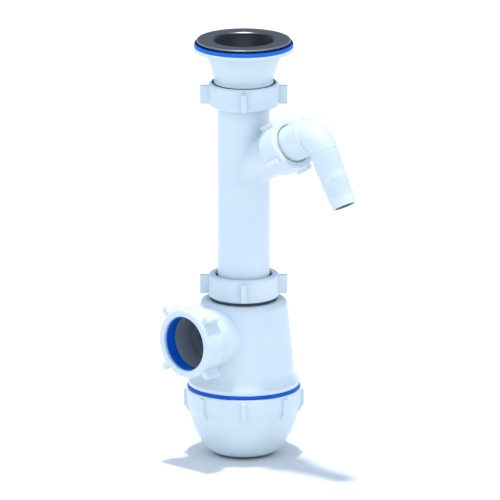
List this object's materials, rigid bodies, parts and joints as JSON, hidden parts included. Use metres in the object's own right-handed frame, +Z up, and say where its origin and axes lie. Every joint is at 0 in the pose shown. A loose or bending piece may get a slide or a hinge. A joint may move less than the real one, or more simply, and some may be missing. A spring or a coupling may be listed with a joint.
{
  "type": "sink trap",
  "caption": "White plastic bottle trap for a kitchen sink with a steel strainer, winged union nuts, a branch with a barbed hose nozzle, a side outlet and a screw-off bowl.",
  "frame": {"origin": "on the main axis, where the underside of the sink sits on the blue gasket", "axes": "+Z up along the main axis, outlet towards -Y, hose branch rising towards +X"},
  "size_m": [0.1634, 0.1116, 0.3278],
  "materials": {
    "steel": "bright pressed stainless sheet",
    "screw_steel": "bright stainless",
    "brass": "plain machined",
    "gasket_rubber": "satin blue moulded rubber",
    "seal_rubber": "satin blue moulded rubber",
    "white_plastic": "glossy moulded polypropylene",
    "nut_plastic": "satin moulded polypropylene",
    "dark_rubber": "matt black moulded rubber"
  },
  "bodies": {
    "waste": {"waste_body": "white_plastic", "sink_gasket": "gasket_rubber", "strainer_cup": "steel", "strainer_screw": "screw_steel", "screw_nut": "brass"},
    "top_seal": {"top_seal": "dark_rubber"},
    "top_nut": {"top_nut": "nut_plastic"},
    "pipe": {"inlet_pipe": "white_plastic"},
    "nozzle_seal": {"nozzle_seal": "dark_rubber"},
    "nozzle_nut": {"nozzle_nut": "nut_plastic"},
    "nozzle": {"hose_nozzle": "white_plastic"},
    "neck_seal": {"neck_seal": "dark_rubber"},
    "bottle": {"bottle_body": "white_plastic"},
    "neck_nut": {"neck_nut": "nut_plastic"},
    "outlet_seal": {"outlet_seal": "seal_rubber"},
    "outlet_nut": {"outlet_nut": "nut_plastic"},
    "bowl_seal": {"bowl_seal": "seal_rubber"},
    "bowl": {"bowl": "white_plastic"}
  },
  "joints": [
    {"name": "top_union", "type": "slide", "parent": "waste", "child": "top_seal", "axis": [0, 0, -1], "range_m": [0, 0.0106]},
    {"name": "top_nut_turn", "type": "hinge", "parent": "top_seal", "child": "top_nut", "pos_m": [0, 0, -0.045], "axis": [0, 0, -1], "range_deg": [0, 1260]},
    {"name": "pipe_swivel", "type": "hinge", "parent": "top_seal", "child": "pipe", "pos_m": [0, 0, -0.045], "axis": [0, 0, 1], "continuous": true},
    {"name": "nozzle_union", "type": "slide", "parent": "pipe", "child": "nozzle_seal", "axis": [0.866, 0, 0.5], "range_m": [0, 0.0101]},
    {"name": "nozzle_nut_turn", "type": "hinge", "parent": "nozzle_seal", "child": "nozzle_nut", "pos_m": [0, 0, -0.1014], "axis": [0.866, 0, 0.5], "range_deg": [0, 1440]},
    {"name": "nozzle_swivel", "type": "hinge", "parent": "nozzle_seal", "child": "nozzle", "pos_m": [0, 0, -0.1014], "axis": [0.866, 0, 0.5], "range_deg": [-135, 135]},
    {"name": "bottle_height", "type": "slide", "parent": "pipe", "child": "neck_seal", "axis": [0, 0, 1], "range_m": [-0.035, 0.02]},
    {"name": "bottle_swivel", "type": "hinge", "parent": "neck_seal", "child": "bottle", "pos_m": [0, 0, -0.1876], "axis": [0, 0, 1], "continuous": true},
    {"name": "neck_nut_turn", "type": "hinge", "parent": "bottle", "child": "neck_nut", "pos_m": [0, 0, -0.1876], "axis": [0, 0, 1], "range_deg": [0, 1440]},
    {"name": "outlet_union", "type": "slide", "parent": "bottle", "child": "outlet_seal", "axis": [0, -1, 0], "range_m": [0, 0.0121]},
    {"name": "outlet_nut_turn", "type": "hinge", "parent": "outlet_seal", "child": "outlet_nut", "pos_m": [0, -0.06, -0.2272], "axis": [0, -1, 0], "range_deg": [0, 1440]},
    {"name": "bowl_union", "type": "slide", "parent": "bottle", "child": "bowl_seal", "axis": [0, 0, -1], "range_m": [0, 0.008]},
    {"name": "bowl_turn", "type": "hinge", "parent": "bowl_seal", "child": "bowl", "pos_m": [0, 0, -0.28], "axis": [0, 0, -1], "range_deg": [0, 810]}
  ],
  "couplings": [
    {"joint": "top_union", "follows": "top_nut_turn", "m_per_rad": 0.00047746},
    {"joint": "nozzle_union", "follows": "nozzle_nut_turn", "m_per_rad": 0.00039789},
    {"joint": "outlet_union", "follows": "outlet_nut_turn", "m_per_rad": 0.00047746},
    {"joint": "bowl_union", "follows": "bowl_turn", "m_per_rad": 0.00055704}
  ]
}
